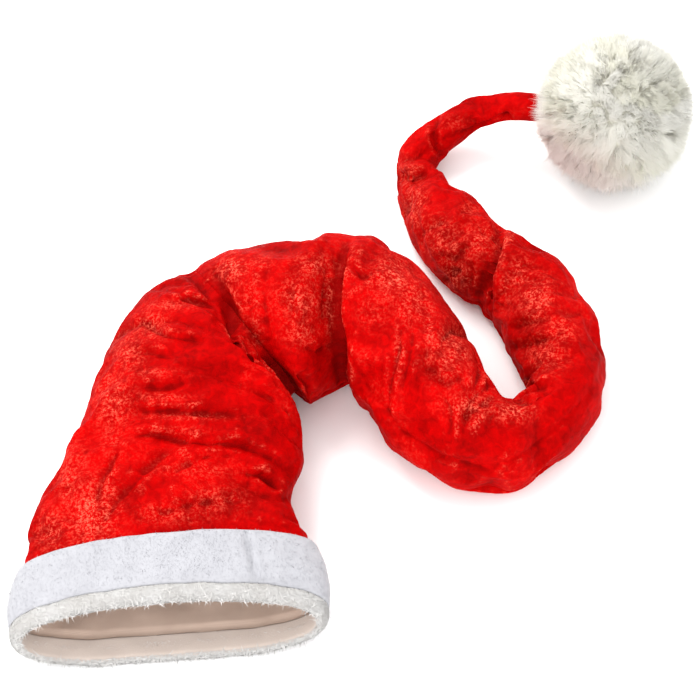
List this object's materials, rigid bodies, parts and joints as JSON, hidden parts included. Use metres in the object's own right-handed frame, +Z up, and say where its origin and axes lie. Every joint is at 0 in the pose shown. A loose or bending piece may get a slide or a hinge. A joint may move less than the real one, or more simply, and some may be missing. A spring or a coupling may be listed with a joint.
{
  "type": "santa hat",
  "caption": "Very long padded santa hat of crushed velvet with a white plush brim and a fur pompom, lying in loops on a surface.",
  "frame": {"origin": "centre of the bounding box on the surface that the hat lies on", "axes": "+Z up, +Y away from the open rim towards the pompom's side, +X to the right as seen from the rim"},
  "size_m": [0.6786, 0.728, 0.1649],
  "materials": {
    "velvet": "crushed velvet with a soft sheen",
    "plush": "short cut pile, matt",
    "hem_plush": "fluffy pile, matt",
    "lining_cloth": "plain weave, matt",
    "fur": "long soft fur, matt"
  },
  "bodies": {
    "root": {"velvet_crown": "velvet", "velvet_tail": "velvet", "brim_band": "plush", "brim_hem": "hem_plush", "lining": "lining_cloth", "pompom": "fur"}
  },
  "joints": []
}
